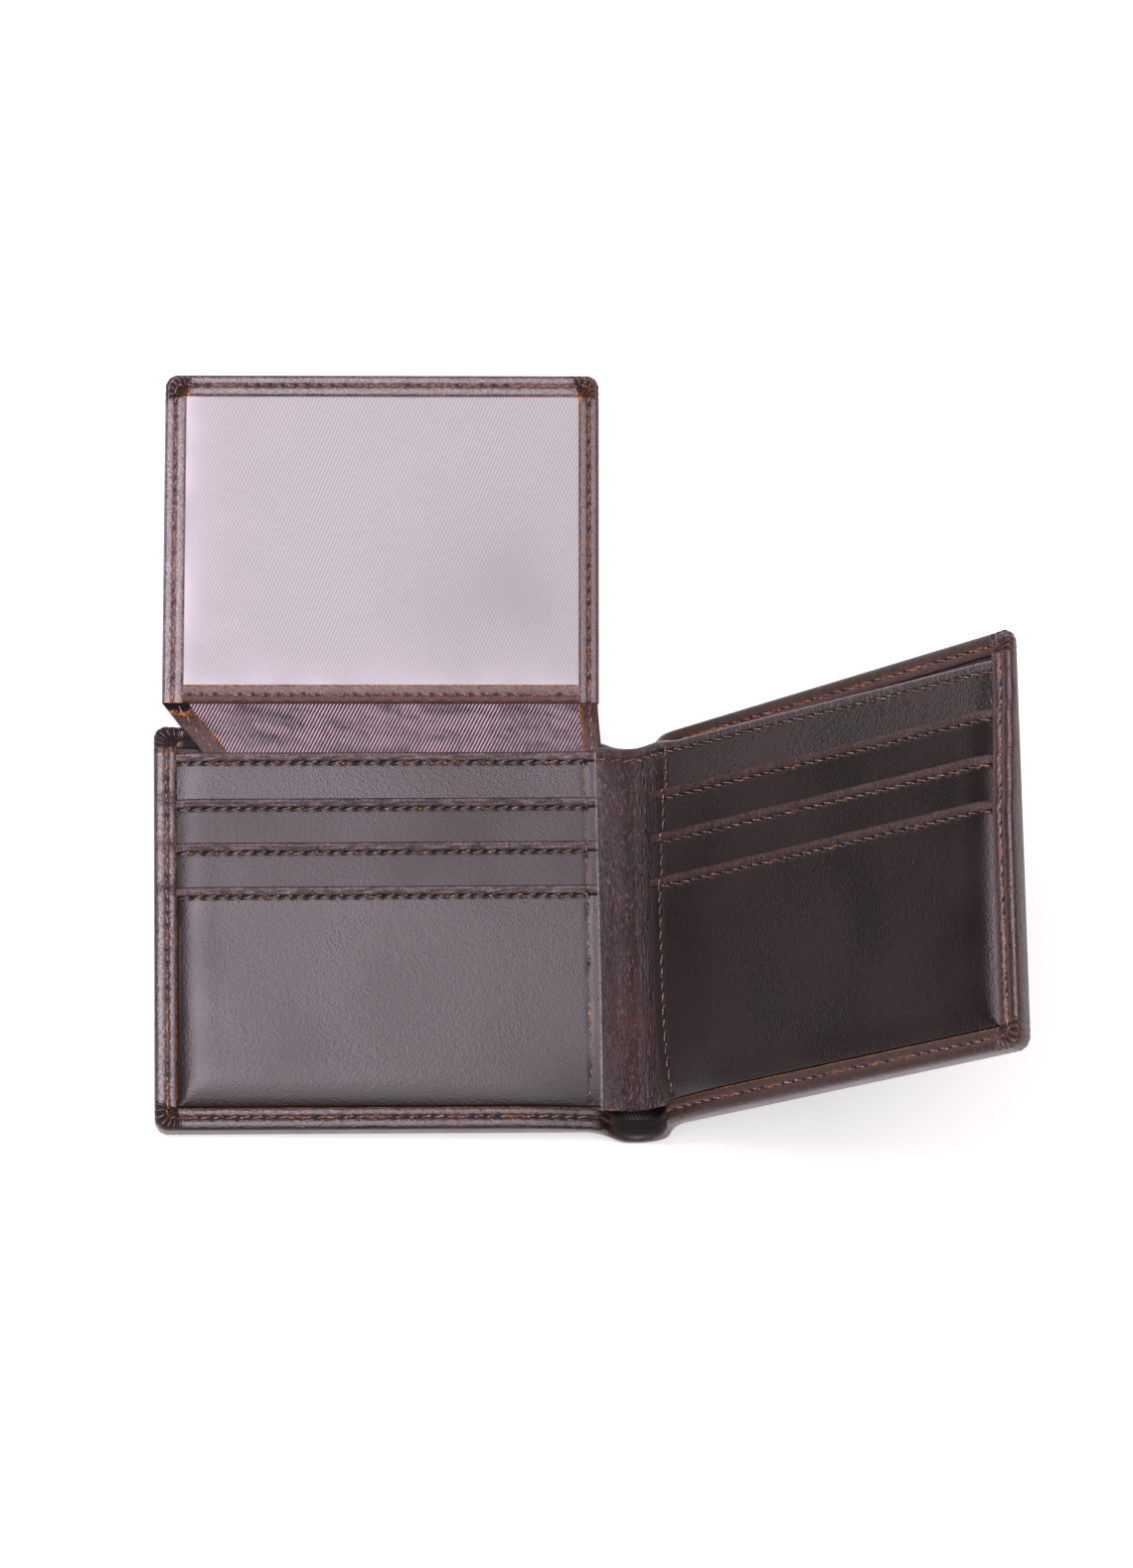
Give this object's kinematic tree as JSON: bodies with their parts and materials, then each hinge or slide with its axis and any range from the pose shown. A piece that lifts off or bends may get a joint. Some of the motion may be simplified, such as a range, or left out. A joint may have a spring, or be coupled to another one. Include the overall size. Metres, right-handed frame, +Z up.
{
  "type": "bifold wallet",
  "caption": "Leather bifold wallet, part open: stepped card pockets in both halves, a bill compartment and a windowed ID flap on a fabric gusset.",
  "frame": {"origin": "bottom centre of the bounding box, with the wallet lying open on its back", "axes": "+X across the wallet from the left half to the raised right half, +Y from the pockets' bottoms to the ID flap, +Z up"},
  "size_m": [0.1858, 0.1784, 0.0859],
  "materials": {
    "cover_leather": "dark brown oiled leather, turned and stitched edges",
    "inner_leather": "dark brown oiled leather, smooth",
    "twill_fabric": "violet grey twill lining",
    "window_film": "clear soft film",
    "thread": "brown polyester sewing thread"
  },
  "bodies": {
    "left_half": {"cover_left": "cover_leather", "cover_lining_left": "twill_fabric", "base_panel_left": "inner_leather", "card_pocket_upper_left": "inner_leather", "card_pocket_middle_left": "inner_leather", "card_pocket_front_left": "inner_leather", "slot_lining_upper_left": "twill_fabric", "slot_lining_middle_left": "twill_fabric", "rim_thread_left": "thread", "cover_hem_thread_left": "thread", "panel_hem_thread_left": "thread", "pocket_threads_left": "thread", "inner_seam_thread_left": "thread", "bill_divider": "twill_fabric"},
    "spine": {"cover_spine": "cover_leather", "cover_lining_spine": "twill_fabric", "spine_lining": "inner_leather", "spine_hem_thread": "thread"},
    "right_half": {"cover_right": "cover_leather", "cover_lining_right": "twill_fabric", "base_panel_right": "inner_leather", "card_pocket_upper_right": "inner_leather", "card_pocket_middle_right": "inner_leather", "card_pocket_front_right": "inner_leather", "slot_lining_upper_right": "twill_fabric", "slot_lining_middle_right": "twill_fabric", "rim_thread_right": "thread", "cover_hem_thread_right": "thread", "panel_hem_thread_right": "thread", "pocket_threads_right": "thread", "inner_seam_thread_right": "thread"},
    "id_flap": {"flap_leather": "inner_leather", "flap_band": "inner_leather", "flap_window_front": "window_film", "flap_window_back": "window_film", "flap_fabric": "twill_fabric", "gusset_fabric": "twill_fabric", "gusset_binding_left": "inner_leather", "gusset_binding_right": "inner_leather", "flap_rim_thread": "thread", "flap_band_thread": "thread"}
  },
  "joints": [
    {"name": "fold_left", "type": "hinge", "parent": "left_half", "child": "spine", "pos_m": [0.0081, -0.04024, 0.00446], "axis": [0, -1, 0], "range_deg": [-21.5, 68.5]},
    {"name": "fold_right", "type": "hinge", "parent": "spine", "child": "right_half", "pos_m": [0.02147, -0.04024, 0.01033], "axis": [0, -1, 0], "range_deg": [-21.5, 68.5]},
    {"name": "flap_hinge", "type": "hinge", "parent": "left_half", "child": "id_flap", "pos_m": [-0.04246, 0.00026, 0.00643], "axis": [0.9992, 0, 0.0387], "range_deg": [0, 176]}
  ],
  "couplings": [
    {"joint": "fold_right", "follows": "fold_left", "ratio": 1}
  ]
}
